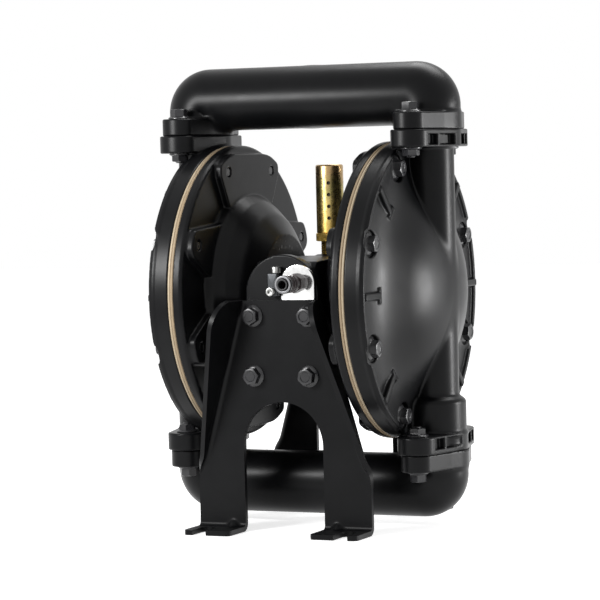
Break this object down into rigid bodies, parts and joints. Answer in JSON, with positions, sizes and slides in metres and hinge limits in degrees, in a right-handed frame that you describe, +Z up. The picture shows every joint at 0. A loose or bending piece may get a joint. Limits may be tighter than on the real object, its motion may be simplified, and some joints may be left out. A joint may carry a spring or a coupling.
{
  "type": "air-operated double diaphragm pump",
  "caption": "Air-operated double diaphragm pump with domed chambers, U-shaped manifolds, ball check valves, central air motor, muffler and folded sheet-metal feet.",
  "frame": {"origin": "on the floor under the middle of the connecting rod", "axes": "+Z up, +X along the connecting rod to the right chamber, -Y to the front with the air inlet"},
  "size_m": [0.3196, 0.3, 0.4676],
  "materials": {
    "black_coating": "satin powder coat on aluminium castings",
    "bracket_coating": "satin powder coat on steel sheet",
    "diaphragm_elastomer": "matte",
    "diaphragm_overlay": "matte, slightly waxy",
    "black_bolt_steel": "black oxide",
    "zinc_steel": "bright zinc plate",
    "stainless_steel": "ground",
    "plate_aluminium": "machined",
    "ball_ptfe": "smooth",
    "seal_ptfe": "smooth",
    "seal_rubber": "matte",
    "bearing_bronze": "machined",
    "polished_cover": "mirror polished",
    "muffler_zinc": "yellow passivated zinc",
    "fitting_metal": "dark, ridged",
    "silencer_element": "porous, dark",
    "collet_plastic": "matte",
    "grey_block": "grey anodised, satin",
    "valve_liner": "hard anodised"
  },
  "bodies": {
    "housing": {"right_air_cap": "black_coating", "left_air_cap": "black_coating", "right_fluid_cap": "black_coating", "left_fluid_cap": "black_coating", "right_diaphragm_backup": "diaphragm_elastomer", "left_diaphragm_backup": "diaphragm_elastomer", "right_diaphragm_overlay": "diaphragm_overlay", "left_diaphragm_overlay": "diaphragm_overlay", "cap_bolts": "black_bolt_steel", "top_manifold": "black_coating", "bottom_manifold": "black_coating", "right_inlet_seat": "stainless_steel", "left_inlet_seat": "stainless_steel", "right_outlet_seat": "stainless_steel", "left_outlet_seat": "stainless_steel", "seat_seals": "seal_ptfe", "manifold_bolts": "black_bolt_steel", "manifold_nuts": "black_bolt_steel", "rod_bushes": "bearing_bronze", "rod_seals": "seal_rubber", "pilot_bushes": "bearing_bronze", "centre_body": "black_coating", "hub_gaskets": "seal_rubber", "hub_screws": "zinc_steel", "valve_sleeve": "valve_liner", "valve_end_caps": "black_coating", "end_cap_screws": "zinc_steel", "muffler": "muffler_zinc", "muffler_element": "silencer_element", "inlet_plate": "polished_cover", "air_fitting": "fitting_metal", "pilot_valve_block": "grey_block", "block_screws": "zinc_steel", "front_bracket": "bracket_coating", "rear_bracket": "bracket_coating", "bracket_bolts": "black_bolt_steel"},
    "rod_assembly": {"connecting_rod": "stainless_steel", "right_inner_plate": "plate_aluminium", "left_inner_plate": "plate_aluminium", "right_outer_plate": "plate_aluminium", "left_outer_plate": "plate_aluminium", "plate_nuts": "zinc_steel"},
    "right_inlet_ball_body": {"right_inlet_ball": "ball_ptfe"},
    "left_inlet_ball_body": {"left_inlet_ball": "ball_ptfe"},
    "right_outlet_ball_body": {"right_outlet_ball": "ball_ptfe"},
    "left_outlet_ball_body": {"left_outlet_ball": "ball_ptfe"},
    "spool_body": {"valve_spool": "plate_aluminium"},
    "pilot_body": {"pilot_rod": "stainless_steel"},
    "collet_body": {"release_collet": "collet_plastic"}
  },
  "joints": [
    {"name": "rod_stroke", "type": "slide", "parent": "housing", "child": "rod_assembly", "axis": [1, 0, 0], "range_m": [-0.012, 0.012], "deforming": ["right_diaphragm_backup", "right_diaphragm_overlay", "left_diaphragm_backup", "left_diaphragm_overlay"]},
    {"name": "right_inlet_ball_lift", "type": "slide", "parent": "housing", "child": "right_inlet_ball_body", "axis": [0, 0, 1], "range_m": [0, 0.0095]},
    {"name": "left_inlet_ball_lift", "type": "slide", "parent": "housing", "child": "left_inlet_ball_body", "axis": [0, 0, 1], "range_m": [0, 0.0095]},
    {"name": "right_outlet_ball_lift", "type": "slide", "parent": "housing", "child": "right_outlet_ball_body", "axis": [0, 0, 1], "range_m": [0, 0.0095]},
    {"name": "left_outlet_ball_lift", "type": "slide", "parent": "housing", "child": "left_outlet_ball_body", "axis": [0, 0, 1], "range_m": [0, 0.0095]},
    {"name": "spool_shift", "type": "slide", "parent": "housing", "child": "spool_body", "axis": [1, 0, 0], "range_m": [-0.0045, 0.0045]},
    {"name": "pilot_shift", "type": "slide", "parent": "housing", "child": "pilot_body", "axis": [1, 0, 0], "range_m": [-0.005, 0.005]},
    {"name": "collet_press", "type": "slide", "parent": "housing", "child": "collet_body", "axis": [0, 1, 0], "range_m": [0, 0.0012]}
  ]
}
